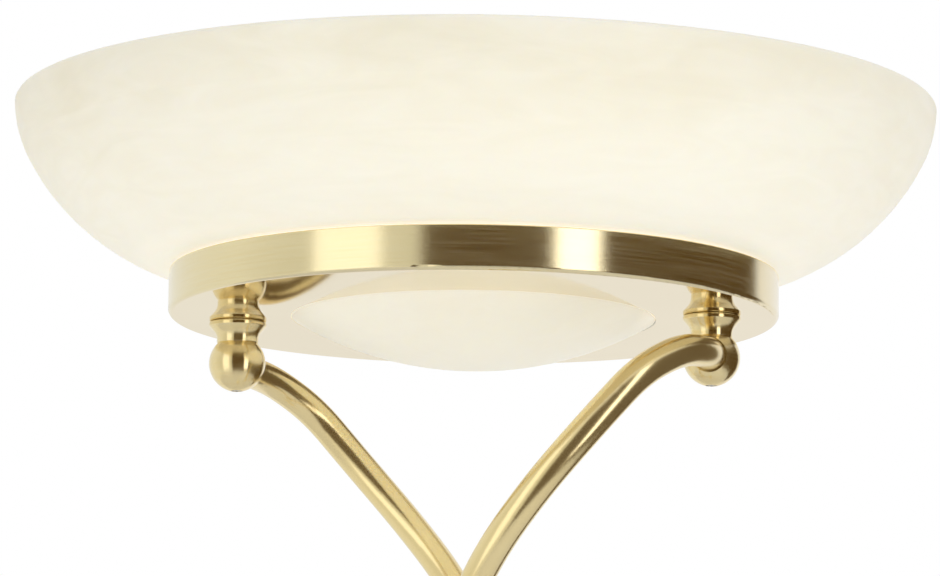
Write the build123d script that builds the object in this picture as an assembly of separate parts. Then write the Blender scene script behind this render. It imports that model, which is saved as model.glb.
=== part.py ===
from build123d import *
from math import asin, cos, radians, sin, sqrt, tan
import os

# Torchiere floor lamp in millimetres, +Z up, origin on the floor under the column.
# The two spiral arms end in balls on the X axis, and the front of the lamp faces -Y.

# Overall sizes
HEIGHT = 1800.0
BASE_RADIUS = 150.0
BOWL_RADIUS = 203.5
RING_RADIUS = 134.2
BALL_INSET = 28.7
COLUMN_RADIUS = 12.5
ARM_RADIUS = 7.0

# Clearances
FIT = 0.05
SLIP = 0.15
REST_GAP = 0.3

# Turned brass: small edge rounding, coves, beads and how far a fitting stands proud of a tube
EDGE = 0.5
COVE_ROUND = 4.0
BEAD_ROUND = 2.0
FITTING_PROUD = 0.5

# Glass bowl: an upright lip, a dished side, a straight shoulder and a neck in the ring
BOWL_WALL = 5.0
LIP_ROUND = 50.0
LIP_TURN = radians(27)
DISH_TURN = radians(74)
SHOULDER_RUN = 6.5
NECK_PLAY = 1.5
BOWL_LIFT = 0.5
RIM_ROUND = 2.0

# Gallery ring with its open centre
RING_WALL = 2.0
RING_HEIGHT = 19.2
RING_FLOOR = 2.5
RING_ROUND = 2.0
RING_HOLE_INSET = 25.5
BOWL_GASKET = 2.0
BOWL_GASKET_WIDTH = 6.0

# Glass dome that closes the centre of the ring
DOME_DEPTH = 21.5
DOME_WALL = 3.5
DOME_PLAY = 0.3
DOME_FLANGE = 6.0
DOME_FLANGE_THICK = 3.0
DOME_GASKET = 1.0

# Balls, necks and the hollow threaded tubes that hold the ring
BALL_RADIUS = 12.5
BALL_DROP = 18.5
NECK_LENGTH = 9.6
NECK_FLANGE_RADIUS = 12.7
NECK_FLANGE_THICK = 2.0
NECK_WAIST_RADIUS = 9.2
NECK_FLARE = 4.0
NECK_COVE = 6.0
NECK_ROUND = 0.9
NIPPLE_RADIUS = 5.0
NIPPLE_BORE = 3.5
NIPPLE_SEAT = 5.0
NIPPLE_PROUD = 1.0
WIRE_CHAMBER_RADIUS = 4.5
SOCKET_MOUTH = 0.7
SOCKET_MOUTH_DEPTH = 1.0
BALL_SCREW_RADIUS = 2.5
BALL_SCREW_LENGTH = 4.0
BALL_SCREW_SINK = 0.5

# Arms: half a turn in plan, with a slope in degrees for each run of the bend
ARM_WALL = 1.0
ARM_START = 5.6
ARM_STUB = 8.0
ARM_SOCKET_X = 6.0
ARM_SLOPES = [0, 5, 27, 48, 49, 49, 49, 60, 74]
ARM_TAIL = 40.0
BEND_SHARE = 0.48
BALL_STRAIGHT = 5.4

# Hub that carries both arms
HUB_WALL = 3.5
HUB_BARREL = 28.0
HUB_COVE = 26.0
HUB_SOCKET = 24.0
HUB_FOOT = 6.0
HUB_CHAMBER = 10.0
HUB_STEP = 3.0
HUB_STEP_HEIGHT = 2.0
HUB_COVE_ROUND = 6.0
HUB_SHOULDER = 5.0
HUB_CROWN = 2.5

# Insulated leads from the dimmer through the arms to the lamp holders
LEAD_RADIUS = 2.0
LEAD_APART = 3.0
LEAD_TURN = 5.0
LEAD_CROSSING = 20.0
LEAD_RISE = 32.0
LEAD_SAG_X = 60.0
LEAD_ENTRY = 10.0

# Column: tubes on spigots, with the upper two lengths fixed
COLUMN_WALL = 1.5
SPIGOT_LENGTH = 18.0
WIRE_BORE = 7.0
UPPER_TUBE = 330.0
MIDDLE_TUBE = 430.0
COUPLER_HEIGHT = 18.0
COUPLER_BEAD = 4.0
COUPLER_FOOT = 3.0

# Dimmer in its barrel on the column
DIMMER_RADIUS = 22.0
DIMMER_WALL = 2.5
DIMMER_BARREL = 44.0
DIMMER_COVE = 12.0
DIMMER_PLUG = 4.0
DIMMER_SHOULDER = 3.0
DIMMER_PAD = 4.0
DIMMER_BOSS = 2.5
DIMMER_BOSS_RADIUS = 12.5
MODULE_HEIGHT = 24.0
MODULE_DEPTH = 20.0
BUSHING_RADIUS = 3.6
BUSHING_PROUD = 3.0
DIMMER_NUT_FLATS = 10.0
DIMMER_NUT_THICK = 2.0
SHAFT_RADIUS = 3.0
SHAFT_IN = 8.0
SHAFT_GRIP = 10.0
KNOB_RADIUS = 11.0
KNOB_LENGTH = 15.0
KNOB_TAPER = 1.0
KNOB_CROWN = 1.5
KNOB_RIM = 2.0
KNOB_GAP = 0.5
KNOB_RECESS = 4.0
KNOB_RECESS_RADIUS = 7.5
KNOB_FLUTES = 18
KNOB_FLUTE_RADIUS = 1.0
KNOB_OFF_ANGLE = 225.0
POINTER_WIDTH = 1.2
POINTER_DEPTH = 0.6

# Base: pad, cast weight, spun cover, collar and the stud that clamps them
PAD_INSET = 14.0
PAD_WIDTH = 40.0
PAD_THICK = 3.0
COVER_WALL = 1.5
COVER_FOOT = 1.5
COVER_EDGE = 18.0
COVER_EDGE_ROUND = 5.0
COVER_SHOULDER_RADIUS = 46.0
COVER_SHOULDER = 33.0
COVER_COVE = 30.0
COVER_TOP_RADIUS = 26.0
COVER_TOP = 47.0
COVER_TOP_ROUND = 8.0
WEIGHT_GAP = 9.0
WEIGHT_SIDE = 9.0
WEIGHT_SLACK = 3.0
WEIGHT_BOSS = 17.0
WEIGHT_ROUND = 3.0
RECESS_RADIUS = 24.0
RECESS_DEPTH = 11.0
STUD_RADIUS = 8.0
STUD_BORE = 5.5
STUD_ENGAGE = 14.0
STUD_PROUD = 1.0
WASHER_RADIUS = 20.0
WASHER_THICK = 2.5
BASE_NUT_FLATS = 24.0
BASE_NUT_THICK = 6.0
COLLAR_HEIGHT = 44.0
COLLAR_FOOT_RADIUS = 22.0
COLLAR_FOOT = 4.0
COLLAR_COVE = 6.0
COLLAR_NECK = 2.0
COLLAR_BEAD = 5.0
COLLAR_BEAD_HEIGHT = 4.0
COLLAR_BEAD_SLOPE = 4.0
COLLAR_TOP = 4.0

# Cord inlet at the back of the base
INLET_BORE = 3.5
INLET_RADIUS = 5.0
INLET_FLANGE = 7.0
INLET_FLANGE_THICK = 2.0
INLET_HEIGHT = 9.5
INLET_INSIDE = 5.0
CHANNEL_WIDTH = 11.0

# Lamp bridge, bracket, holders and bulbs inside the bowl
BRIDGE_THICK = 2.5
BRIDGE_WIDTH = 20.0
BRIDGE_END = 10.5
BRIDGE_RISE = 9.5
BRIDGE_WASHER_ROOM = 3.0
BRIDGE_DOME_ROOM = 1.0
NIPPLE_WASHER = 1.2
NIPPLE_WASHER_RADIUS = 8.5
NIPPLE_NUT = 5.0
NIPPLE_NUT_FLATS = 14.0
BRACKET_THICK = 2.0
BRACKET_HALF = 10.0
BRACKET_WIDTH = 30.0
BRACKET_HEIGHT = 48.0
BRACKET_SCREW_RADIUS = 2.0
BRACKET_SCREW_HEAD = 4.0
BRACKET_SCREW_HEAD_THICK = 2.2
BRACKET_NUT_FLATS = 7.0
BRACKET_NUT_THICK = 3.2
BRACKET_SCREW_PROUD = 1.0
HOLDER_RADIUS = 19.0
HOLDER_LENGTH = 36.0
HOLDER_FLOOR = 8.0
HOLDER_RIM = 1.5
HOLDER_FOOT = 2.0
HOLDER_TAPER = 6.0
HOLDER_EDGE = 1.0
HOLDER_AXIS = 31.0
HOLDER_SCREW_SPREAD = 9.0
HOLDER_SCREW_RADIUS = 1.5
HOLDER_SCREW_HEAD = 3.0
HOLDER_SCREW_HEAD_THICK = 1.8
HOLDER_SCREW_LENGTH = 6.0
SOCKET_RADIUS = 13.5
CAP_RADIUS = 13.1
CAP_TIP = 4.5
CAP_CONE = 6.5
CAP_CONE_LENGTH = 3.0
CAP_PROUD = 1.0
GLOBE_RADIUS = 22.5
GLOBE_NECK = 12.5
GLOBE_LENGTH = 60.0
GLOBE_NECK_LENGTH = 7.0
GLOBE_FLARE = 6.0
GLOBE_SHOULDER = 25.0
GLOBE_SHOULDER_ROUND = 12.0
GLOBE_FLAT = 1.0
GLOBE_WALL = 1.0

# Radii of what meets
ball_circle = RING_RADIUS - BALL_INSET
ring_hole = ball_circle - RING_HOLE_INSET
tube_bore = COLUMN_RADIUS - COLUMN_WALL
spigot = tube_bore - FIT
fitting = COLUMN_RADIUS + FITTING_PROUD

# Heights above the flat underside of the ring
neck_radius = RING_RADIUS - RING_WALL - NECK_PLAY
shoulder_slope = tan(radians(90) - DISH_TURN)
neck_top = RING_HEIGHT + BOWL_LIFT - NECK_PLAY * shoulder_slope
neck_foot = RING_FLOOR + BOWL_GASKET + REST_GAP
dish_radius = neck_radius + SHOULDER_RUN
dish_height = neck_top + SHOULDER_RUN * shoulder_slope
lip_radius = BOWL_RADIUS - LIP_ROUND * (1 - cos(LIP_TURN))
dish_round = (lip_radius - dish_radius) / (cos(LIP_TURN) - cos(DISH_TURN))
lip_height = dish_height + dish_round * (sin(DISH_TURN) - sin(LIP_TURN))
bowl_rise = lip_height + LIP_ROUND * sin(LIP_TURN)

bridge_mid = RING_FLOOR + BRIDGE_THICK / 2 + BRIDGE_RISE
bridge_top = bridge_mid + BRIDGE_THICK / 2

# Heights above the floor
underside = HEIGHT - bowl_rise
ball_z = underside - BALL_DROP
collar_top_z = COVER_TOP + COLLAR_HEIGHT

nodes = {}


def lathe(corners):
    """Turn an outline of (radius, height, corner rounding) about the Z axis."""
    points = [(radius, height) for radius, height, _ in corners]
    rounds = [rounding for _, _, rounding in corners]
    outline = FilletPolyline(*points, radius=rounds, close=True)
    return revolve(Plane.XZ * make_face(outline), Axis.Z)


def pipe(inner, outer, bottom, top):
    """A plain tube about the Z axis."""
    return lathe([(inner, bottom, 0), (outer, bottom, 0), (outer, top, 0), (inner, top, 0)])


def rod(radius, bottom, top):
    """A plain cylinder about the Z axis."""
    low = (Align.CENTER, Align.CENTER, Align.MIN)
    return Pos(0, 0, bottom) * Cylinder(radius, top - bottom, align=low)


def hexagon(flats, bottom, top):
    """A hexagonal bar about the Z axis, given across its flats."""
    face = RegularPolygon(flats / 2, 6, major_radius=False)
    return Pos(0, 0, bottom) * extrude(face, top - bottom)


def facing_front(solid):
    """Lay a solid made about Z along -Y, so that its height becomes its reach to the front."""
    return Rot(90, 0, 0) * solid


def facing_back(solid):
    """Lay a solid made about Z along +Y, so that its height becomes its reach to the back."""
    return Rot(-90, 0, 0) * solid


def other_side(solid):
    """The same piece half a turn round the lamp."""
    return Rot(0, 0, 180) * solid


def both_sides(name, solid):
    nodes[name + "_right"] = solid
    nodes[name + "_left"] = other_side(solid)


def front_and_rear(name, solid):
    nodes[name + "_front"] = solid
    nodes[name + "_rear"] = other_side(solid)


def bent_path(points, first_straight=0.0, tightest=None):
    """Straight runs joined by tangent arcs as large as the runs allow, or as tightest caps them."""
    spots = [Vector(*point) for point in points]
    runs = [after - before for before, after in zip(spots, spots[1:])]
    radii = []
    for index, (run, following) in enumerate(zip(runs, runs[1:])):
        share = BEND_SHARE * min(run.length, following.length)
        if index == 0 and first_straight:
            share = min(BEND_SHARE * following.length, run.length - first_straight)
        radius = share / tan(radians(run.get_angle(following)) / 2)
        if tightest and index in tightest:
            radius = min(radius, tightest[index])
        radii.append(radius)
    return FilletPolyline(*spots, radius=radii)


def swept(section, route):
    """Sweep a section drawn at the origin along a route, and print that none of it is lost."""
    start = Plane(route @ 0, z_dir=route % 0)
    solid = sweep(start * section, path=route)
    print("volume over section times length", round(solid.volume / section.area / route.length, 4))
    return solid


def arm_route():
    """Corners of the right arm from its ball to the foot of its socket in the hub."""
    steps = len(ARM_SLOPES) - 1
    step = radians(180) / steps
    turn_radius = (ball_circle + ARM_SOCKET_X) / 2
    corner_radius = turn_radius / cos(step / 2)
    half_run = turn_radius * tan(step / 2)
    height = ball_z
    points = [(ball_circle, -ARM_START, height)]
    for index in range(steps):
        run = 2 * half_run if index else half_run
        height -= run * tan(radians(ARM_SLOPES[index]))
        angle = (index + 0.5) * step
        x = ball_circle - turn_radius + corner_radius * cos(angle)
        points.append((x, -ARM_STUB - corner_radius * sin(angle), height))
    height -= half_run * tan(radians(ARM_SLOPES[-1]))
    points.append((-ARM_SOCKET_X, -ARM_STUB, height))
    points.append((-ARM_SOCKET_X, -ARM_STUB, height - ARM_TAIL))
    return points


arm_points = arm_route()
arm_foot_z = arm_points[-1][2]
hub_top_z = arm_foot_z + HUB_SOCKET
hub_foot_z = hub_top_z - HUB_BARREL - HUB_COVE - HUB_FOOT
dimmer_top_z = hub_foot_z - UPPER_TUBE
dimmer_foot_z = dimmer_top_z - DIMMER_BARREL - 2 * DIMMER_COVE
coupler_top_z = dimmer_foot_z - MIDDLE_TUBE
coupler_foot_z = coupler_top_z - COUPLER_HEIGHT


def make_base():
    pad_edge = BASE_RADIUS - PAD_INSET
    nodes["base_pad"] = pipe(pad_edge - PAD_WIDTH, pad_edge, 0, PAD_THICK)

    edge = BASE_RADIUS - COVER_WALL / 2
    crown = COVER_TOP - COVER_WALL / 2
    sheet = FilletPolyline(
        (edge, COVER_FOOT),
        (edge, COVER_EDGE),
        (COVER_SHOULDER_RADIUS, COVER_SHOULDER),
        (COVER_TOP_RADIUS, crown),
        (STUD_RADIUS + SLIP, crown),
        radius=[COVER_EDGE_ROUND, COVER_COVE, COVER_TOP_ROUND],
    )
    cover = revolve(Plane.XZ * trace(sheet, COVER_WALL), Axis.Z)
    inlet = facing_back(rod(INLET_RADIUS + SLIP, BASE_RADIUS / 2, BASE_RADIUS))
    nodes["base_cover"] = cover - Pos(0, 0, INLET_HEIGHT) * inlet

    rim = BASE_RADIUS - WEIGHT_GAP
    side_top = PAD_THICK + WEIGHT_SIDE
    shoulder = COVER_SHOULDER - COVER_WALL - WEIGHT_SLACK
    weight = lathe([
        (STUD_RADIUS + SLIP, PAD_THICK, 0),
        (rim, PAD_THICK, EDGE),
        (rim, side_top, WEIGHT_ROUND),
        (COVER_SHOULDER_RADIUS, shoulder, 0),
        (WEIGHT_BOSS, shoulder, 0),
        (WEIGHT_BOSS, COVER_TOP - COVER_WALL, 0),
        (STUD_RADIUS + SLIP, COVER_TOP - COVER_WALL, 0),
    ])
    ceiling = PAD_THICK + RECESS_DEPTH
    weight -= rod(RECESS_RADIUS, 0, ceiling)
    channel_height = INLET_HEIGHT + CHANNEL_WIDTH / 2
    channel = Box(CHANNEL_WIDTH, BASE_RADIUS, channel_height, align=(Align.CENTER, Align.MIN, Align.MIN))
    nodes["base_weight"] = weight - channel

    washer_foot = ceiling - WASHER_THICK
    nut_foot = washer_foot - BASE_NUT_THICK
    nodes["base_washer"] = pipe(STUD_RADIUS + SLIP, WASHER_RADIUS, washer_foot, ceiling)
    nut = hexagon(BASE_NUT_FLATS, nut_foot, washer_foot)
    nodes["base_nut"] = nut - rod(STUD_RADIUS + FIT, 0, ceiling)
    stud_top = COVER_TOP + STUD_ENGAGE
    nodes["base_stud"] = pipe(STUD_BORE, STUD_RADIUS, nut_foot - STUD_PROUD, stud_top)

    neck = COLUMN_RADIUS + COLLAR_NECK
    bead = COLUMN_RADIUS + COLLAR_BEAD
    foot_top = COVER_TOP + COLLAR_FOOT
    bead_top = collar_top_z - COLLAR_TOP - COLLAR_BEAD_SLOPE
    bead_foot = bead_top - COLLAR_BEAD_HEIGHT
    spigot_top = collar_top_z + SPIGOT_LENGTH
    collar = lathe([
        (WIRE_BORE, COVER_TOP, 0),
        (COLLAR_FOOT_RADIUS, COVER_TOP, EDGE),
        (COLLAR_FOOT_RADIUS, foot_top, EDGE),
        (neck, foot_top + COLLAR_COVE, COLLAR_COVE),
        (neck, bead_foot - COLLAR_BEAD_SLOPE, BEAD_ROUND),
        (bead, bead_foot, BEAD_ROUND),
        (bead, bead_top, BEAD_ROUND),
        (fitting, bead_top + COLLAR_BEAD_SLOPE, BEAD_ROUND),
        (fitting, collar_top_z, 0),
        (spigot, collar_top_z, 0),
        (spigot, spigot_top, 0),
        (WIRE_BORE, spigot_top, 0),
    ])
    nodes["base_collar"] = collar - rod(STUD_RADIUS + FIT, COVER_TOP, stud_top)

    sleeve_foot = -INLET_INSIDE
    bushing = lathe([
        (INLET_BORE, sleeve_foot, 0),
        (INLET_RADIUS, sleeve_foot, 0),
        (INLET_RADIUS, 0, 0),
        (INLET_FLANGE, 0, 0),
        (INLET_FLANGE, INLET_FLANGE_THICK, EDGE),
        (INLET_BORE, INLET_FLANGE_THICK, 0),
    ])
    back_face = BASE_RADIUS + FIT
    nodes["cord_bushing"] = Pos(0, back_face, INLET_HEIGHT) * facing_back(bushing)


def make_column():
    nodes["lower_tube"] = pipe(tube_bore, COLUMN_RADIUS, collar_top_z, coupler_foot_z)
    nodes["middle_tube"] = pipe(tube_bore, COLUMN_RADIUS, coupler_top_z, dimmer_foot_z)
    nodes["upper_tube"] = pipe(tube_bore, COLUMN_RADIUS, dimmer_top_z, hub_foot_z)

    foot, top = coupler_foot_z, coupler_top_z
    bead = COLUMN_RADIUS + COUPLER_BEAD
    nodes["column_coupler"] = lathe([
        (WIRE_BORE, foot - SPIGOT_LENGTH, 0),
        (spigot, foot - SPIGOT_LENGTH, 0),
        (spigot, foot, 0),
        (fitting, foot, 0),
        (fitting, foot + COUPLER_FOOT, 0),
        (bead, foot + COUPLER_FOOT + BEAD_ROUND, BEAD_ROUND),
        (bead, top - COUPLER_FOOT - BEAD_ROUND, BEAD_ROUND),
        (fitting, top - COUPLER_FOOT, 0),
        (fitting, top, 0),
        (spigot, top, 0),
        (spigot, top + SPIGOT_LENGTH, 0),
        (WIRE_BORE, top + SPIGOT_LENGTH, 0),
    ])


def make_dimmer():
    foot, top = dimmer_foot_z, dimmer_top_z
    floor = foot + DIMMER_COVE
    lid = top - DIMMER_COVE
    middle = (floor + lid) / 2
    inner = DIMMER_RADIUS - DIMMER_WALL
    seat = inner - DIMMER_PAD
    face = DIMMER_RADIUS + DIMMER_BOSS

    body = lathe([
        (WIRE_BORE, foot - SPIGOT_LENGTH, 0),
        (spigot, foot - SPIGOT_LENGTH, 0),
        (spigot, foot, 0),
        (fitting, foot, 0),
        (fitting, foot + DIMMER_COVE / 2, COVE_ROUND),
        (DIMMER_RADIUS, floor, DIMMER_SHOULDER),
        (DIMMER_RADIUS, lid, 0),
        (inner, lid, 0),
        (inner, floor + DIMMER_WALL, 0),
        (WIRE_BORE, floor + DIMMER_WALL, 0),
    ])
    at_front = Pos(0, 0, middle)
    pad = Box(2 * inner, inner, MODULE_HEIGHT, align=(Align.CENTER, Align.MAX, Align.CENTER))
    pad = Pos(0, -seat, 0) * pad
    barrel = rod(inner + DIMMER_WALL / 2, -DIMMER_BARREL, DIMMER_BARREL)
    boss = facing_front(rod(DIMMER_BOSS_RADIUS, inner, face))
    bushing_hole = facing_front(rod(BUSHING_RADIUS + FIT, 0, face))
    nodes["dimmer_body"] = body + at_front * ((pad & barrel) + boss) - at_front * bushing_hole

    nodes["dimmer_cap"] = lathe([
        (WIRE_BORE, lid - DIMMER_PLUG, 0),
        (inner - FIT, lid - DIMMER_PLUG, 0),
        (inner - FIT, lid, 0),
        (DIMMER_RADIUS, lid, 0),
        (DIMMER_RADIUS, lid + DIMMER_SHOULDER, DIMMER_SHOULDER),
        (fitting, lid + DIMMER_SHOULDER + DIMMER_COVE / 2, COVE_ROUND),
        (fitting, top, 0),
        (spigot, top, 0),
        (spigot, top + SPIGOT_LENGTH, 0),
        (WIRE_BORE, top + SPIGOT_LENGTH, 0),
    ])

    module_width = 2 * sqrt((inner - REST_GAP) ** 2 - seat**2)
    block = Box(module_width, MODULE_DEPTH, MODULE_HEIGHT, align=(Align.CENTER, Align.MIN, Align.CENTER))
    block = Pos(0, -seat, 0) * block
    nut_face = face + DIMMER_NUT_THICK
    bushing = facing_front(rod(BUSHING_RADIUS, seat, face + BUSHING_PROUD))
    shaft_way = facing_front(rod(SHAFT_RADIUS + FIT, SHAFT_IN - REST_GAP, face + BUSHING_PROUD))
    nodes["dimmer_module"] = at_front * (block + bushing - shaft_way)
    nut = hexagon(DIMMER_NUT_FLATS, face, nut_face) - rod(BUSHING_RADIUS + FIT, 0, nut_face)
    nodes["dimmer_nut"] = at_front * facing_front(nut)

    knob_back = face + KNOB_GAP
    knob_front = knob_back + KNOB_LENGTH
    shaft_tip = knob_back + KNOB_RECESS + SHAFT_GRIP
    nodes["dimmer_shaft"] = at_front * facing_front(rod(SHAFT_RADIUS, SHAFT_IN, shaft_tip))
    knob = lathe([
        (0, knob_back, 0),
        (KNOB_RADIUS, knob_back, EDGE),
        (KNOB_RADIUS - KNOB_TAPER, knob_front, KNOB_CROWN),
        (0, knob_front, 0),
    ])
    flute = Pos(KNOB_RADIUS, 0, 0) * rod(KNOB_FLUTE_RADIUS, knob_back + KNOB_RIM, knob_front + KNOB_CROWN)
    for index in range(KNOB_FLUTES):
        knob -= Rot(0, 0, index * 360 / KNOB_FLUTES) * flute
    knob -= rod(KNOB_RECESS_RADIUS, knob_back, knob_back + KNOB_RECESS)
    knob -= rod(SHAFT_RADIUS, knob_back, shaft_tip)
    pointer = Box(KNOB_RADIUS, POINTER_WIDTH, POINTER_DEPTH, align=(Align.MIN, Align.CENTER, Align.MAX))
    knob -= Rot(0, 0, KNOB_OFF_ANGLE) * Pos(KNOB_RADIUS / 4, 0, knob_front) * pointer
    nodes["dimmer_knob"] = at_front * facing_front(knob)


def make_arms():
    reach = sqrt(ARM_SOCKET_X**2 + ARM_STUB**2)
    hub_radius = reach + ARM_RADIUS + HUB_WALL
    barrel_foot = hub_top_z - HUB_BARREL
    cove_foot = barrel_foot - HUB_COVE
    hub = lathe([
        (WIRE_BORE, hub_foot_z - SPIGOT_LENGTH, 0),
        (spigot, hub_foot_z - SPIGOT_LENGTH, 0),
        (spigot, hub_foot_z, 0),
        (fitting, hub_foot_z, 0),
        (fitting, cove_foot, HUB_COVE_ROUND),
        (hub_radius - HUB_STEP, barrel_foot - HUB_STEP_HEIGHT, HUB_SHOULDER),
        (hub_radius, barrel_foot, EDGE),
        (hub_radius, hub_top_z, HUB_CROWN),
        (WIRE_BORE, hub_top_z, 0),
    ])
    hub += rod(WIRE_BORE, arm_foot_z, hub_top_z)
    hub -= rod(reach + 2 * LEAD_RADIUS, arm_foot_z - HUB_CHAMBER, arm_foot_z)
    socket = Pos(-ARM_SOCKET_X, -ARM_STUB, 0) * rod(ARM_RADIUS + FIT, arm_foot_z, hub_top_z)
    nodes["arm_hub"] = hub - socket - other_side(socket)

    section = Circle(ARM_RADIUS) - Circle(ARM_RADIUS - ARM_WALL)
    both_sides("arm", swept(section, bent_path(arm_points, BALL_STRAIGHT)))


def make_leads():
    """The right arm's lead: up the column, through the hub and arm, out of the ring to its holder."""
    module_top = (dimmer_foot_z + dimmer_top_z + MODULE_HEIGHT) / 2
    holder_z = underside + bridge_top + HOLDER_AXIS
    holder_y = -BRACKET_HALF - LEAD_ENTRY
    chamber_foot = arm_foot_z - HUB_CHAMBER
    points = [
        (-LEAD_APART, 0, module_top),
        (-LEAD_APART, 0, chamber_foot - LEAD_CROSSING / 4),
        (-ARM_SOCKET_X, -ARM_STUB, chamber_foot + LEAD_CROSSING * 3 / 4),
    ]
    points += arm_points[-2:0:-1]
    ball_corner = len(points) - 1
    points += [
        (ball_circle, 0, ball_z),
        (ball_circle, 0, underside + LEAD_RISE),
        (LEAD_SAG_X, holder_y, holder_z),
        (HOLDER_RADIUS + FIT, holder_y, holder_z),
    ]
    route = bent_path(points, tightest={ball_corner: LEAD_TURN})
    both_sides("lamp_lead", swept(Circle(LEAD_RADIUS), route))


def make_balls():
    place = Pos(ball_circle, 0, ball_z)
    flat = BALL_DROP - NECK_LENGTH
    ball = Sphere(BALL_RADIUS) - rod(BALL_RADIUS, flat, BALL_RADIUS)
    ball -= rod(NIPPLE_RADIUS + FIT, NIPPLE_SEAT, BALL_RADIUS)
    ball -= facing_front(rod(ARM_RADIUS + FIT, ARM_START, BALL_RADIUS))
    mouth = ARM_RADIUS + SOCKET_MOUTH
    mouth_floor = sqrt(BALL_RADIUS**2 - mouth**2) - SOCKET_MOUTH_DEPTH
    ball -= facing_front(rod(mouth, mouth_floor, BALL_RADIUS))
    ball -= facing_front(rod(WIRE_CHAMBER_RADIUS, -WIRE_CHAMBER_RADIUS, ARM_START))
    ball -= rod(NIPPLE_BORE, 0, NIPPLE_SEAT)
    screw_foot = BALL_SCREW_SINK - BALL_RADIUS
    screw_top = screw_foot + BALL_SCREW_LENGTH
    ball -= rod(BALL_SCREW_RADIUS + FIT, -BALL_RADIUS, screw_top)
    both_sides("ball", place * ball)
    screw = place * rod(BALL_SCREW_RADIUS, screw_foot, screw_top)
    nodes["ball_screws"] = Compound([screw, other_side(screw)])

    neck = lathe([
        (NIPPLE_RADIUS + FIT, -NECK_LENGTH, 0),
        (NECK_WAIST_RADIUS, -NECK_LENGTH, EDGE),
        (NECK_WAIST_RADIUS, -NECK_FLANGE_THICK - NECK_FLARE, NECK_COVE),
        (NECK_FLANGE_RADIUS, -NECK_FLANGE_THICK, EDGE),
        (NECK_FLANGE_RADIUS, 0, NECK_ROUND),
        (NIPPLE_RADIUS + FIT, 0, 0),
    ])
    both_sides("neck", Pos(ball_circle, 0, underside) * neck)

    washer_foot = RING_FLOOR + BRIDGE_THICK
    nut_foot = washer_foot + NIPPLE_WASHER
    nut_top = nut_foot + NIPPLE_NUT
    at_nipple = Pos(ball_circle, 0, underside)
    nipple = pipe(NIPPLE_BORE, NIPPLE_RADIUS, NIPPLE_SEAT - BALL_DROP, nut_top + NIPPLE_PROUD)
    both_sides("nipple", at_nipple * nipple)
    washer = at_nipple * pipe(NIPPLE_RADIUS + SLIP, NIPPLE_WASHER_RADIUS, washer_foot, nut_foot)
    nodes["nipple_washers"] = Compound([washer, other_side(washer)])
    nut = hexagon(NIPPLE_NUT_FLATS, nut_foot, nut_top) - rod(NIPPLE_RADIUS + FIT, nut_foot, nut_top)
    nut = at_nipple * nut
    nodes["nipple_nuts"] = Compound([nut, other_side(nut)])


def make_ring():
    wall = RING_RADIUS - RING_WALL
    ring = lathe([
        (ring_hole, 0, EDGE),
        (RING_RADIUS, 0, RING_ROUND),
        (RING_RADIUS, RING_HEIGHT, EDGE),
        (wall, RING_HEIGHT, EDGE),
        (wall, RING_FLOOR, 0),
        (ring_hole, RING_FLOOR, 0),
    ])
    hole = Pos(ball_circle, 0, 0) * rod(NIPPLE_RADIUS + SLIP, 0, RING_FLOOR)
    nodes["gallery_ring"] = Pos(0, 0, underside) * (ring - hole - other_side(hole))

    gasket_outer = wall - SLIP
    gasket = pipe(gasket_outer - BOWL_GASKET_WIDTH, gasket_outer, RING_FLOOR, RING_FLOOR + BOWL_GASKET)
    nodes["bowl_gasket"] = Pos(0, 0, underside) * gasket
    seat = pipe(ring_hole + DOME_PLAY, ring_hole + DOME_FLANGE, RING_FLOOR, RING_FLOOR + DOME_GASKET)
    nodes["dome_gasket"] = Pos(0, 0, underside) * seat


def make_dome():
    edge = ring_hole - DOME_PLAY
    curve = (edge**2 + DOME_DEPTH**2) / (2 * DOME_DEPTH)
    centre = curve - DOME_DEPTH
    inner_edge = edge - DOME_WALL
    inner_curve = curve - DOME_WALL
    half_out = asin(edge / curve) / 2
    turn_in = asin(inner_edge / inner_curve)
    inner_z = centre - inner_curve * cos(turn_in)
    flange_z = RING_FLOOR + DOME_GASKET
    flange_top = flange_z + DOME_FLANGE_THICK
    outside = ThreePointArc(
        (0, -DOME_DEPTH),
        (curve * sin(half_out), centre - curve * cos(half_out)),
        (edge, 0),
    )
    side = Polyline(
        (edge, 0),
        (edge, flange_z),
        (ring_hole + DOME_FLANGE, flange_z),
        (ring_hole + DOME_FLANGE, flange_top),
        (inner_edge, flange_top),
        (inner_edge, inner_z),
    )
    inside = ThreePointArc(
        (inner_edge, inner_z),
        (inner_curve * sin(turn_in / 2), centre - inner_curve * cos(turn_in / 2)),
        (0, DOME_WALL - DOME_DEPTH),
    )
    axis = Line((0, DOME_WALL - DOME_DEPTH), (0, -DOME_DEPTH))
    section = make_face([outside, side, inside, axis])
    nodes["glass_dome"] = Pos(0, 0, underside) * revolve(Plane.XZ * section, Axis.Z)


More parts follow.
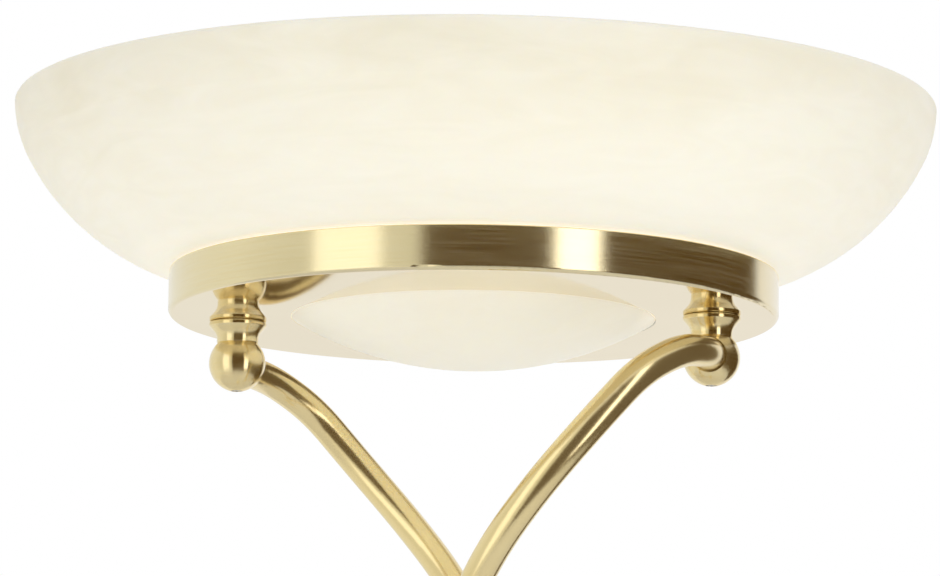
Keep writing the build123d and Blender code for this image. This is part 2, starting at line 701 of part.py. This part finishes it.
def bowl_side(inset):
    """Wall of the bowl from neck to rim, moved inwards by inset: line, dish arc and lip arc."""
    foot = (neck_radius - inset, neck_foot)
    dish_out = Vector(-cos(DISH_TURN), sin(DISH_TURN))
    lip_out = Vector(-cos(LIP_TURN), sin(LIP_TURN))
    half_dish = (DISH_TURN + LIP_TURN) / 2
    dish_centre = Vector(dish_radius, dish_height) + dish_out * dish_round
    lip_centre = Vector(lip_radius, lip_height) + lip_out * LIP_ROUND
    dish_foot = Vector(dish_radius, dish_height) + dish_out * inset
    lip_foot = Vector(lip_radius, lip_height) + lip_out * inset
    shoulder = dish_foot.Y - (dish_foot.X - foot[0]) * shoulder_slope
    neck = Polyline(foot, (foot[0], shoulder), dish_foot)
    dish_mid = dish_centre - Vector(-cos(half_dish), sin(half_dish)) * (dish_round - inset)
    lip_mid = lip_centre - Vector(-cos(LIP_TURN / 2), sin(LIP_TURN / 2)) * (LIP_ROUND - inset)
    dish = ThreePointArc(dish_foot, dish_mid, lip_foot)
    lip = ThreePointArc(lip_foot, lip_mid, (BOWL_RADIUS - inset, bowl_rise))
    return [neck, dish, lip]


def make_bowl():
    outside = bowl_side(0)
    inside = bowl_side(BOWL_WALL)
    ends = [Line(outside[0] @ 0, inside[0] @ 0), Line(outside[2] @ 1, inside[2] @ 1)]
    section = make_face(outside + inside + ends)
    bowl = revolve(Plane.XZ * section, Axis.Z)
    rim = bowl.edges().filter_by(GeomType.CIRCLE).group_by(Axis.Z)[-1]
    nodes["glass_bowl"] = Pos(0, 0, underside) * fillet(rim, RIM_ROUND)


def globe_side(foot, inset):
    """Outline of a bulb's glass from its neck to its tip, moved inwards by inset."""
    tip = foot + GLOBE_LENGTH - inset
    neck = GLOBE_NECK - inset
    side = GLOBE_RADIUS - inset
    return [
        (neck, foot, 0),
        (neck, foot + GLOBE_NECK_LENGTH, GLOBE_FLARE + inset),
        (side, foot + GLOBE_SHOULDER, GLOBE_SHOULDER_ROUND - inset),
        (side, tip, side - GLOBE_FLAT),
        (0, tip, 0),
    ]


def make_lamps():
    low = RING_FLOOR + BRIDGE_THICK / 2
    high = bridge_mid
    end = ball_circle + BRIDGE_END
    jog_out = ball_circle - NIPPLE_WASHER_RADIUS - BRIDGE_WASHER_ROOM
    jog_in = ring_hole + DOME_FLANGE + BRIDGE_DOME_ROOM
    strap = Polyline(
        (-end, low),
        (-jog_out, low),
        (-jog_in, high),
        (jog_in, high),
        (jog_out, low),
        (end, low),
    )
    bridge = Plane.XZ * extrude(trace(strap, BRIDGE_THICK), BRIDGE_WIDTH / 2, both=True)
    top = bridge_top
    bottom = bridge_top - BRIDGE_THICK
    hole = Pos(ball_circle, 0, 0) * rod(NIPPLE_RADIUS + SLIP, 0, top)
    screw_hole = rod(BRACKET_SCREW_RADIUS + SLIP, 0, top)
    nodes["lamp_bridge"] = Pos(0, 0, underside) * (bridge - hole - other_side(hole) - screw_hole)

    foot = top + BRACKET_THICK / 2
    upright = BRACKET_HALF - BRACKET_THICK / 2
    angle = Polyline(
        (-upright, top + BRACKET_HEIGHT),
        (-upright, foot),
        (upright, foot),
        (upright, top + BRACKET_HEIGHT),
    )
    bracket = Plane.YZ * extrude(trace(angle, BRACKET_THICK), BRACKET_WIDTH / 2, both=True)
    bracket -= rod(BRACKET_SCREW_RADIUS + SLIP, top, top + BRACKET_THICK)
    axis_z = top + HOLDER_AXIS
    screw_spots = [Pos(side * HOLDER_SCREW_SPREAD, 0, axis_z) for side in (-1, 1)]
    way = facing_front(rod(HOLDER_SCREW_RADIUS + SLIP, -BRACKET_HALF, BRACKET_HALF))
    for spot in screw_spots:
        bracket -= spot * way
    nodes["holder_bracket"] = Pos(0, 0, underside) * bracket

    head_foot = top + BRACKET_THICK
    nut_foot = bottom - BRACKET_NUT_THICK
    screw = rod(BRACKET_SCREW_RADIUS, nut_foot - BRACKET_SCREW_PROUD, head_foot)
    screw += rod(BRACKET_SCREW_HEAD, head_foot, head_foot + BRACKET_SCREW_HEAD_THICK)
    nodes["bracket_screw"] = Pos(0, 0, underside) * screw
    nut = hexagon(BRACKET_NUT_FLATS, nut_foot, bottom) - rod(BRACKET_SCREW_RADIUS + FIT, nut_foot, bottom)
    nodes["bracket_nut"] = Pos(0, 0, underside) * nut

    mouth = BRACKET_HALF + HOLDER_LENGTH
    floor = BRACKET_HALF + HOLDER_FLOOR
    holder = lathe([
        (0, BRACKET_HALF, 0),
        (HOLDER_RADIUS - HOLDER_FOOT, BRACKET_HALF, HOLDER_EDGE),
        (HOLDER_RADIUS, BRACKET_HALF + HOLDER_TAPER, HOLDER_EDGE),
        (HOLDER_RADIUS, mouth - HOLDER_TAPER, HOLDER_EDGE),
        (HOLDER_RADIUS - HOLDER_RIM, mouth, HOLDER_EDGE),
        (SOCKET_RADIUS, mouth, 0),
        (SOCKET_RADIUS, floor, 0),
        (0, floor, 0),
    ])
    holder_screw = rod(HOLDER_SCREW_RADIUS, BRACKET_HALF - BRACKET_THICK, BRACKET_HALF + HOLDER_SCREW_LENGTH)
    head = BRACKET_HALF - BRACKET_THICK - HOLDER_SCREW_HEAD_THICK
    holder_screw += rod(HOLDER_SCREW_HEAD, head, BRACKET_HALF - BRACKET_THICK)
    pocket = facing_front(rod(HOLDER_SCREW_RADIUS + FIT, BRACKET_HALF, BRACKET_HALF + HOLDER_SCREW_LENGTH))
    holder = Pos(0, 0, axis_z) * facing_front(holder)
    screws = []
    for spot in screw_spots:
        holder -= spot * pocket
        screws.append(Pos(0, 0, underside) * spot * facing_front(holder_screw))
    screws += [other_side(piece) for piece in screws]
    nodes["holder_screws"] = Compound(screws)

    tip = floor + REST_GAP
    cone_top = tip + CAP_CONE_LENGTH
    globe_foot = mouth + CAP_PROUD
    cap = lathe([
        (0, tip, 0),
        (CAP_TIP, tip, 0),
        (CAP_CONE, cone_top, 0),
        (CAP_RADIUS, cone_top + CAP_CONE_LENGTH, 0),
        (CAP_RADIUS, globe_foot, 0),
        (0, globe_foot, 0),
    ])
    globe = lathe(globe_side(globe_foot, 0) + globe_side(globe_foot, GLOBE_WALL)[::-1])
    at_axis = Pos(0, 0, underside + axis_z)
    front_and_rear("lamp_holder", Pos(0, 0, underside) * holder)
    front_and_rear("bulb_cap", at_axis * facing_front(cap))
    front_and_rear("bulb_globe", at_axis * facing_front(globe))


make_base()
make_column()
make_dimmer()
make_arms()
make_leads()
make_balls()
make_ring()
make_dome()
make_bowl()
make_lamps()

os.makedirs("parts", exist_ok=True)
for name, shape in nodes.items():
    export_step(shape, f"parts/{name}.step")
print(len(nodes), "nodes, ring underside at", round(underside, 2), "ball centres at", round(ball_z, 2))
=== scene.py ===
from math import cos, pi, radians, sin

import bpy
from mathutils import Matrix, Vector


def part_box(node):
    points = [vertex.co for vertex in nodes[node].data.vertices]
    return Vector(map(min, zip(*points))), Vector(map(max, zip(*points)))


# Looks of a torchiere floor lamp: satin brass, alabaster glass and a plain pale studio.
# Metres, in the same frame as the model: +Z up, the front of the lamp faces -Y.

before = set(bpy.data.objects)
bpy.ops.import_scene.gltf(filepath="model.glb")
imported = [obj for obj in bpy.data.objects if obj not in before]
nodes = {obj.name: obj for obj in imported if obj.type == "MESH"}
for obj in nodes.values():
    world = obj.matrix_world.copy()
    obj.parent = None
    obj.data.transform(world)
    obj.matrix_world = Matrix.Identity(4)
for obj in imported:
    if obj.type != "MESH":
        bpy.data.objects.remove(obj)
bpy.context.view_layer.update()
scene = bpy.context.scene

# Camera, with its place given round the ring's underside
IMAGE_WIDTH = 940
FOCAL_PIXELS = 5600
SENSOR = 36.0
CAMERA_DISTANCE = 2.4346
CAMERA_BELOW = 0.3842
CAMERA_AZIMUTH = radians(8.85)
CAMERA_YAW = radians(-0.038)
CAMERA_PITCH = radians(9.287)
CAMERA_ROLL = radians(0.646)

# Lights: angles are to the right of the camera's side, seen from the lamp
LEFT_ANGLE = radians(-47)
LEFT_SIZE = (1.04, 2.4)
LEFT_RADIANCE = 0.60
RIGHT_ANGLE = radians(38)
RIGHT_SIZE = (0.66, 2.4)
RIGHT_RADIANCE = 1.95
LIGHT_DISTANCE = 2.2
LIGHT_HEIGHT = 1.75
LOW_SIZE = (2.0, 2.0)
LOW_RADIANCE = 0.95
LOW_HEIGHT = 0.02

# Room: its even light, and its parts as metal and glass see them.
# A fade says where a part begins and where it is full, as cosines to its direction or as heights.
WHITE = (1.0, 1.0, 1.0, 1.0)
ROOM_LIGHT = 0.78
ROOM_BACK = (0.88, 0.86, 0.82, 1.0)
ROOM_SIDE = (0.82, 0.81, 0.74, 1.0)
SIDE_ANGLE = radians(-112)
SIDE_FADE = (0.3, 0.7)
ROOM_NEAR = (0.70, 0.685, 0.61, 1.0)
NEAR_FADE = (0.60, 0.92)
ROOM_DARK = (0.075, 0.040, 0.004, 1.0)
DARK_FROM = radians(-20)
DARK_FROM_FADE = (0.0, 0.015)
DARK_TO = radians(132.5)
DARK_TO_FADE = (-0.06, -0.045)
DARK_LEAN = radians(20)
DARK_TOP_FADE = (0.60, 0.45)

# Floor: it goes over into the backdrop between two distances from the lamp
FLOOR_RADIUS = 2.2
FLOOR_SIDES = 128
FLOOR_FADE = (0.3, 0.95 * FLOOR_RADIUS)
FLOOR_COLOUR = (0.78, 0.77, 0.75, 1.0)
FLOOR_SHADE = 0.97

# Colours
BRASS = (0.90, 0.79, 0.49, 1.0)
BRASS_DEEP = (0.84, 0.715, 0.41, 1.0)
POLISH = (0.90, 0.80, 0.58, 1.0)
POLISH_DEEP = (0.86, 0.755, 0.53, 1.0)
GOLD = (0.93, 0.78, 0.42, 1.0)
GOLD_DEEP = (0.88, 0.71, 0.35, 1.0)
ALABASTER = (0.955, 0.897, 0.78, 1.0)
ALABASTER_CLOUD = (0.85, 0.79, 0.655, 1.0)
DOME_WHITE = (0.94, 0.87, 0.725, 1.0)
DOME_CLOUD = (0.90, 0.82, 0.665, 1.0)
WARM_WHITE = (1.0, 0.98, 0.93, 1.0)
BULB_WHITE = (0.90, 0.89, 0.86, 1.0)
BULB_SHADE = (0.84, 0.83, 0.80, 1.0)
STEEL = (0.62, 0.62, 0.60, 1.0)
STEEL_DEEP = (0.55, 0.55, 0.535, 1.0)
CAP_METAL = (0.72, 0.71, 0.68, 1.0)
CAP_DEEP = (0.58, 0.56, 0.52, 1.0)
PORCELAIN = (0.86, 0.85, 0.80, 1.0)
PORCELAIN_SHADE = (0.80, 0.78, 0.72, 1.0)
IRON = (0.09, 0.09, 0.09, 1.0)
IRON_RUST = (0.13, 0.10, 0.08, 1.0)
RUBBER = (0.035, 0.035, 0.035, 1.0)
RUBBER_DUST = (0.07, 0.07, 0.068, 1.0)
SILICONE = (0.84, 0.81, 0.74, 1.0)
SILICONE_DUST = (0.76, 0.73, 0.66, 1.0)
PLASTIC = (0.02, 0.02, 0.02, 1.0)
PLASTIC_WORN = (0.045, 0.045, 0.045, 1.0)
INSULATION = (0.82, 0.80, 0.74, 1.0)
INSULATION_WORN = (0.74, 0.71, 0.63, 1.0)

# Brass: its lacquer, and the marks that turning leaves on upright faces
LACQUER = {"Coat Weight": 1.0, "Coat Roughness": 0.16, "Coat IOR": 1.8}
THIN_LACQUER = {**LACQUER, "Coat Weight": 0.6}
LEVEL_SHARPNESS = 6.0
DEEP_MARKS = (0.42, 0.75)
MARK_SCATTER = 0.09
MARK_HEIGHT = 0.0002

# Alabaster: how far red, green and blue light go in, its clouds, and its painted glow near other pieces,
# which is painted light that takes away the shade there.
# Cloud strength and top shade are at the foot and at the top of the glass; together they make the glass
# darker towards the top, which is painted shade.
GLASS_DEPTH = (0.012, 0.010, 0.007)
WISP_SHARE = 0.45
CLOUD_RANGE = (0.36, 0.66)
CLOUD_STRENGTH = (0.2, 0.75)
PAINTED_TOP_SHADE = (0.0, 0.3)
GLOW = 0.45
GLOW_REACH = 0.025

# Patches: the part of a noise that goes all the way from one colour to the other
NOISE_MIDDLE = (0.3, 0.7)

# Grain of plain surfaces, finer than their patches
GRAIN_FINENESS = 12
GRAIN_HEIGHT = 0.0005


def add(tree, kind, values=None, **settings):
    """A shader node with its settings, and its inputs set to a value or linked to a socket."""
    made = tree.nodes.new("ShaderNode" + kind)
    for key, value in settings.items():
        setattr(made, key, value)
    for socket, value in (values or {}).items():
        if isinstance(value, bpy.types.NodeSocket):
            tree.links.new(value, made.inputs[socket])
        else:
            made.inputs[socket].default_value = value
    return made


def result(tree, operation, *values):
    """What a Math node makes of its values."""
    return add(tree, "Math", dict(enumerate(values)), operation=operation).outputs[0]


def product(tree, first, *others):
    for other in others:
        first = result(tree, "MULTIPLY", first, other)
    return first


def spread(tree, value, low, high, top=1.0):
    """A value that goes from 0 to the top while another goes from low to high."""
    values = {"Value": value, "From Min": low, "From Max": high, "To Max": top}
    return add(tree, "MapRange", values).outputs[0]


def mapped(tree, value, low, high):
    """A value from 0 to 1 brought to a range."""
    return add(tree, "MapRange", {"Value": value, "To Min": low, "To Max": high}).outputs[0]


def between(tree, factor, first, second):
    """A value between two. A Mix node has its values at inputs 2 and 3."""
    return add(tree, "Mix", {0: factor, 2: first, 3: second}).outputs[0]


def blended(tree, factor, first, second):
    """A colour between two. A Mix node has its colours at inputs 6 and 7, and the result at output 2."""
    return add(tree, "Mix", {0: factor, 6: first, 7: second}, data_type="RGBA").outputs[2]


def place(tree):
    """Places in the lamp at rest. They stay with a piece when it moves."""
    return add(tree, "TexCoord").outputs["Object"]


def stretched(tree, scale):
    """Those places, scaled along each axis."""
    return add(tree, "VectorMath", {0: place(tree), 1: scale}, operation="MULTIPLY").outputs[0]


def turned(tree, around, across):
    """Coordinates that change slowly round the Z axis and fast across it, as marks of turning do."""
    parts = add(tree, "SeparateXYZ", {0: place(tree)}).outputs
    flat = add(tree, "CombineXYZ", {"X": parts["X"], "Y": parts["Y"]}).outputs[0]
    radius = add(tree, "VectorMath", {0: flat}, operation="LENGTH").outputs["Value"]
    outward = add(tree, "VectorMath", {0: flat}, operation="NORMALIZE").outputs[0]
    outward = add(tree, "SeparateXYZ", {0: outward}).outputs
    return add(tree, "CombineXYZ", {
        "X": product(tree, outward["X"], around),
        "Y": product(tree, outward["Y"], around),
        "Z": product(tree, result(tree, "ADD", radius, parts["Z"]), across),
    }).outputs[0]


def noise(tree, vector, scale=1.0, detail=3.0, distortion=0.0):
    values = {"Vector": vector, "Scale": scale, "Detail": detail, "Distortion": distortion}
    return add(tree, "TexNoise", values).outputs["Fac"]


def mottled(tree, pattern, first, second):
    """Two colours in the patches of a noise."""
    return blended(tree, spread(tree, pattern, *NOISE_MIDDLE), first, second)


def bumped(tree, height, strength, distance):
    values = {"Height": height, "Strength": strength, "Distance": distance}
    return add(tree, "Bump", values).outputs[0]


def principled(name, constants):
    """A new material, its node tree and its shader with constant sockets set."""
    made = bpy.data.materials.new(name)
    made.use_nodes = True
    shader = made.node_tree.nodes["Principled BSDF"]
    for socket, value in constants.items():
        shader.inputs[socket].default_value = value
    return made, made.node_tree, shader


def connect(tree, shader, **sockets):
    for name, socket in sockets.items():
        tree.links.new(socket, shader.inputs[name.replace("_", " ")])


def spun_marks(tree):
    return turned(tree, around=3.0, across=1700.0)


def lathe_marks(tree):
    return turned(tree, around=0.35, across=2600.0)


def level_marks(tree):
    return stretched(tree, (25.0, 25.0, 1500.0))


def turned_brass(name, marks, sides, flats, satin, polish, bump):
    """Turned brass: marks and lacquer on upright faces, and level faces with a finish of their own.

    The marks draw glints out up and down, so these are lengthened across the tangent, and the deeper
    marks scatter a little light.
    """
    made, tree, shader = principled(name, {"Anisotropic": 0.9, "Anisotropic Rotation": 0.25, **LACQUER})
    lines = noise(tree, marks(tree), detail=4.0)
    patches = noise(tree, place(tree), scale=9.0)
    facing = add(tree, "SeparateXYZ", {0: add(tree, "NewGeometry").outputs["Normal"]}).outputs["Z"]
    level = result(tree, "POWER", result(tree, "ABSOLUTE", facing), LEVEL_SHARPNESS)
    upright = result(tree, "SUBTRACT", 1.0, level)
    rough = between(tree, level, mapped(tree, lines, *satin), mapped(tree, patches, *polish))
    colour = blended(tree, level, mottled(tree, lines, *sides), mottled(tree, patches, *flats))
    scatter = product(tree, spread(tree, lines, *DEEP_MARKS, MARK_SCATTER), upright)
    connect(tree, shader, Base_Color=colour, Roughness=rough, Coat_Weight=upright,
            Metallic=result(tree, "SUBTRACT", 1.0, scatter),
            Normal=bumped(tree, lines, product(tree, upright, bump), MARK_HEIGHT),
            Tangent=add(tree, "Tangent", direction_type="RADIAL", axis="Z").outputs[0])
    return made


def satin_brass():
    """Bent tube under a thin satin lacquer: soft patches and no grain."""
    made, tree, shader = principled("satin_brass", {"Metallic": 0.92, **THIN_LACQUER})
    patches = noise(tree, place(tree), scale=22.0)
    cloud = noise(tree, place(tree), scale=60.0, detail=2.0)
    connect(tree, shader, Base_Color=mottled(tree, patches, GOLD_DEEP, GOLD),
            Roughness=mapped(tree, cloud, 0.19, 0.25))
    return made


def drawn_brass():
    """Straight drawn tube: faint streaks along the length."""
    made, tree, shader = principled("drawn_brass", {"Metallic": 1.0})
    streaks = noise(tree, stretched(tree, (500.0, 500.0, 1.2)), detail=2.0)
    patches = noise(tree, place(tree), scale=14.0)
    connect(tree, shader, Base_Color=mottled(tree, patches, BRASS_DEEP, BRASS),
            Roughness=mapped(tree, streaks, 0.20, 0.28))
    return made


def alabaster(name, node, clear, cloudy):
    """Cloudy glass: clouds drift round the body of the glass, and painted shade laid over the clouds
    makes the glass darker towards the top.

    A faint glow where something is close is painted light: it takes away the shade there, and it stands
    in for light that comes through the glass.
    """
    made, tree, shader = principled(name, {
        "Subsurface Weight": 0.6,
        "Subsurface Radius": GLASS_DEPTH,
        "Subsurface Scale": 1.0,
        "Emission Color": WARM_WHITE,
    })
    foot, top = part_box(node)
    height = add(tree, "SeparateXYZ", {0: place(tree)}).outputs["Z"]
    height = spread(tree, height, foot.z, top.z)
    clouds = noise(tree, stretched(tree, (1.0, 1.0, 1.6)), scale=9.0, detail=4.0, distortion=1.2)
    wisps = noise(tree, turned(tree, around=3.0, across=45.0), detail=5.0, distortion=1.8)
    veil = spread(tree, between(tree, WISP_SHARE, clouds, wisps), *CLOUD_RANGE)
    # Painted shade: stronger clouds and an added haze make the glass darker towards the top.
    strength = mapped(tree, height, *CLOUD_STRENGTH)
    veil = result(tree, "MULTIPLY_ADD", veil, strength, mapped(tree, height, *PAINTED_TOP_SHADE))
    ripple = noise(tree, place(tree), scale=40.0, detail=2.0)
    # Painted light: the glass glows where other pieces are close, and this takes away the shade there.
    open_side = add(tree, "AmbientOcclusion", {"Distance": GLOW_REACH}, samples=8).outputs["AO"]
    glow = product(tree, result(tree, "SUBTRACT", 1.0, open_side), GLOW)
    connect(tree, shader, Base_Color=blended(tree, veil, clear, cloudy),
            Roughness=mapped(tree, wisps, 0.36, 0.50), Emission_Strength=glow,
            Normal=bumped(tree, ripple, strength=0.04, distance=0.002))
    return made


def plain_surface(name, first, second, scale, rough, bump, **constants):
    """A surface with two close colours in patches, uneven gloss and a fine grain.

    Constants are sockets of the shader, with _ for each space in their names.
    """
    constants = {socket.replace("_", " "): value for socket, value in constants.items()}
    made, tree, shader = principled(name, constants)
    patches = noise(tree, place(tree), scale)
    grain = noise(tree, place(tree), GRAIN_FINENESS * scale, detail=6.0)
    connect(tree, shader, Base_Color=mottled(tree, patches, first, second),
            Roughness=mapped(tree, grain, *rough), Normal=bumped(tree, grain, bump, GRAIN_HEIGHT))
    return made


def dress(material, *names):
    """Gives nodes of the model a material in place of the one they came with."""
    for name in names:
        nodes[name].data.materials.clear()
        nodes[name].data.materials.append(material)


def dress_brass():
    brass = (BRASS_DEEP, BRASS)
    gold = (GOLD_DEEP, GOLD)
    polish = (POLISH_DEEP, POLISH)
    ring = turned_brass("ring_brass", spun_marks, sides=brass, flats=polish,
                        satin=(0.17, 0.25), polish=(0.03, 0.05), bump=0.25)
    spun = turned_brass("spun_brass", spun_marks, sides=brass, flats=brass,
                        satin=(0.20, 0.28), polish=(0.14, 0.22), bump=0.10)
    lathed = turned_brass("lathed_brass", lathe_marks, sides=brass, flats=brass,
                          satin=(0.20, 0.28), polish=(0.18, 0.26), bump=0.06)
    small = turned_brass("turned_brass", level_marks, sides=gold, flats=gold,
                         satin=(0.20, 0.26), polish=(0.20, 0.26), bump=0.05)
    dress(ring, "gallery_ring")
    dress(spun, "base_cover")
    dress(lathed, "base_collar", "column_coupler", "dimmer_body", "dimmer_cap", "arm_hub")
    dress(small, "ball_right", "ball_left", "neck_right", "neck_left")
    dress(drawn_brass(), "lower_tube", "middle_tube", "upper_tube")
    dress(satin_brass(), "arm_right", "arm_left", "dimmer_knob")


def dress_glass():
    frosted = plain_surface("frosted_bulb", BULB_SHADE, BULB_WHITE,
                            scale=60.0, rough=(0.35, 0.5), bump=0.02,
                            Subsurface_Weight=0.3, Subsurface_Radius=(0.01, 0.01, 0.01))
    dress(alabaster("alabaster", "glass_bowl", ALABASTER, ALABASTER_CLOUD), "glass_bowl")
    dress(alabaster("dome_glass", "glass_dome", DOME_WHITE, DOME_CLOUD), "glass_dome")
    dress(frosted, "bulb_globe_front", "bulb_globe_rear")


def dress_fittings():
    cap = plain_surface("bulb_cap", CAP_DEEP, CAP_METAL,
                        scale=120.0, rough=(0.25, 0.4), bump=0.05, Metallic=1.0)
    zinc = plain_surface("zinc_steel", STEEL_DEEP, STEEL,
                         scale=150.0, rough=(0.28, 0.48), bump=0.06, Metallic=1.0)
    porcelain = plain_surface("porcelain", PORCELAIN_SHADE, PORCELAIN,
                              scale=50.0, rough=(0.2, 0.3), bump=0.01,
                              Coat_Weight=0.8, Coat_Roughness=0.06)
    iron = plain_surface("cast_iron", IRON, IRON_RUST,
                         scale=30.0, rough=(0.6, 0.85), bump=0.5)
    rubber = plain_surface("rubber", RUBBER, RUBBER_DUST,
                           scale=60.0, rough=(0.7, 0.9), bump=0.2)
    silicone = plain_surface("white_rubber", SILICONE_DUST, SILICONE,
                             scale=60.0, rough=(0.45, 0.6), bump=0.05)
    plastic = plain_surface("dark_plastic", PLASTIC, PLASTIC_WORN,
                            scale=80.0, rough=(0.4, 0.55), bump=0.1)
    sheath = plain_surface("insulation", INSULATION_WORN, INSULATION,
                           scale=90.0, rough=(0.35, 0.5), bump=0.08)
    dress(cap, "bulb_cap_front", "bulb_cap_rear")
    dress(zinc, "base_stud", "base_washer", "base_nut", "dimmer_nut", "dimmer_shaft", "ball_screws",
          "nipple_right", "nipple_left", "nipple_washers", "nipple_nuts", "lamp_bridge", "holder_bracket",
          "bracket_screw", "bracket_nut", "holder_screws")
    dress(porcelain, "lamp_holder_front", "lamp_holder_rear")
    dress(iron, "base_weight")
    dress(rubber, "base_pad")
    dress(silicone, "bowl_gasket", "dome_gasket")
    dress(plastic, "cord_bushing", "dimmer_module")
    dress(sheath, "lamp_lead_right", "lamp_lead_left")


def make_floor():
    """A pale round floor that keeps the lamp's shadow and, for the camera, goes over into white."""
    bpy.ops.mesh.primitive_circle_add(vertices=FLOOR_SIDES, radius=FLOOR_RADIUS, fill_type="NGON")
    floor = bpy.context.object
    floor.name = "floor"
    made, tree, shader = principled("floor", {"Roughness": 0.9})
    shade = tuple(FLOOR_SHADE * part for part in FLOOR_COLOUR[:3]) + (1.0,)
    patches = noise(tree, place(tree), scale=3.0)
    connect(tree, shader, Base_Color=mottled(tree, patches, shade, FLOOR_COLOUR))
    away = add(tree, "VectorMath", {0: place(tree)}, operation="LENGTH").outputs["Value"]
    seen = add(tree, "LightPath").outputs["Is Camera Ray"]
    fade = product(tree, spread(tree, away, *FLOOR_FADE), seen)
    backdrop = add(tree, "Emission", {"Color": WHITE, "Strength": 1.0}).outputs[0]
    both = add(tree, "MixShader", {0: fade, 1: shader.outputs[0], 2: backdrop}).outputs[0]
    tree.links.new(both, tree.nodes["Material Output"].inputs["Surface"])
    floor.data.materials.append(made)


def heading(angle):
    """A level direction from the lamp, at an angle to the right of the camera's side."""
    turn = CAMERA_AZIMUTH + angle
    return Vector((sin(turn), -cos(turn), 0.0))


def make_room():
    """White for the camera and an even light for the lamp.

    Metal and glass see a pale backdrop and side, a greyer part round the left softbox, and a dim part
    in front and to the right, up to a height. The dim part starts at an upright edge and ends at a
    leaning one.
    """
    room = bpy.data.worlds.new("room")
    scene.world = room
    room.use_nodes = True
    tree = room.node_tree
    tree.nodes.clear()
    rays = add(tree, "LightPath").outputs
    way = add(tree, "TexCoord").outputs["Generated"]

    def towards(angle, fade, drop=0.0):
        aim = cos(drop) * heading(angle) - Vector((0.0, 0.0, sin(drop)))
        dot = add(tree, "VectorMath", {0: way, 1: aim}, operation="DOT_PRODUCT").outputs["Value"]
        return spread(tree, dot, *fade)

    indoors = result(tree, "SUBTRACT", 1.0, rays["Is Camera Ray"])
    side = product(tree, towards(SIDE_ANGLE, SIDE_FADE), indoors)
    near = product(tree, towards(LEFT_ANGLE, NEAR_FADE), indoors)
    below_top = spread(tree, add(tree, "SeparateXYZ", {0: way}).outputs["Z"], *DARK_TOP_FADE)
    after_start = towards(DARK_FROM + pi / 2, DARK_FROM_FADE)
    before_end = towards(DARK_TO - pi / 2, DARK_TO_FADE, DARK_LEAN)
    dark = product(tree, below_top, after_start, before_end, indoors)
    colour = WHITE
    for share, tone in (indoors, ROOM_BACK), (side, ROOM_SIDE), (near, ROOM_NEAR), (dark, ROOM_DARK):
        colour = blended(tree, share, colour, tone)
    seen = add(tree, "Background", {"Color": colour, "Strength": 1.0}).outputs[0]
    light = add(tree, "Background", {"Color": WHITE, "Strength": ROOM_LIGHT}).outputs[0]
    direct = result(tree, "MAXIMUM", rays["Is Camera Ray"], rays["Is Glossy Ray"])
    direct = result(tree, "MAXIMUM", direct, rays["Is Transmission Ray"])
    final = add(tree, "MixShader", {0: direct, 1: light, 2: seen}).outputs[0]
    add(tree, "OutputWorld", {"Surface": final})


def make_light(name, shape, size, radiance, spot, target):
    """An area light that faces a target, with the power that gives a rectangle this radiance."""
    light = bpy.data.lights.new(name, "AREA")
    light.shape = shape
    light.size, light.size_y = size
    light.energy = pi * size[0] * size[1] * radiance
    lamp = bpy.data.objects.new(name, light)
    lamp.location = spot
    lamp.rotation_euler = (target - spot).to_track_quat("-Z", "Y").to_euler()
    lamp.visible_camera = False
    scene.collection.objects.link(lamp)
    return lamp


def make_lights():
    """Two tall softboxes in front, and a round light on the floor that lifts the glass from below."""
    up = Vector((0.0, 0.0, 1.0))
    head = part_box("gallery_ring")[0].z * up
    left = LIGHT_DISTANCE * heading(LEFT_ANGLE) + LIGHT_HEIGHT * up
    right = LIGHT_DISTANCE * heading(RIGHT_ANGLE) + LIGHT_HEIGHT * up
    make_light("softbox_left", "RECTANGLE", LEFT_SIZE, LEFT_RADIANCE, left, head)
    make_light("softbox_right", "RECTANGLE", RIGHT_SIZE, RIGHT_RADIANCE, right, head)
    low = make_light("low_light", "DISK", LOW_SIZE, LOW_RADIANCE, LOW_HEIGHT * up, head)
    low.visible_glossy = False


def make_camera():
    lens = bpy.data.cameras.new("camera")
    lens.sensor_width = SENSOR
    lens.lens = SENSOR * FOCAL_PIXELS / IMAGE_WIDTH
    camera = bpy.data.objects.new("camera", lens)
    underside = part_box("gallery_ring")[0].z
    turn = Matrix.Rotation(CAMERA_AZIMUTH, 4, "Z")
    spot = turn @ Vector((0.0, -CAMERA_DISTANCE, underside - CAMERA_BELOW))
    aim = Matrix.Rotation(CAMERA_AZIMUTH - CAMERA_YAW, 4, "Z")
    tilt = Matrix.Rotation(pi / 2 + CAMERA_PITCH, 4, "X") @ Matrix.Rotation(CAMERA_ROLL, 4, "Z")
    camera.matrix_world = Matrix.Translation(spot) @ aim @ tilt
    scene.collection.objects.link(camera)
    scene.camera = camera


dress_brass()
dress_glass()
dress_fittings()
make_floor()
make_room()
make_lights()
make_camera()
scene.view_settings.view_transform = "Standard"
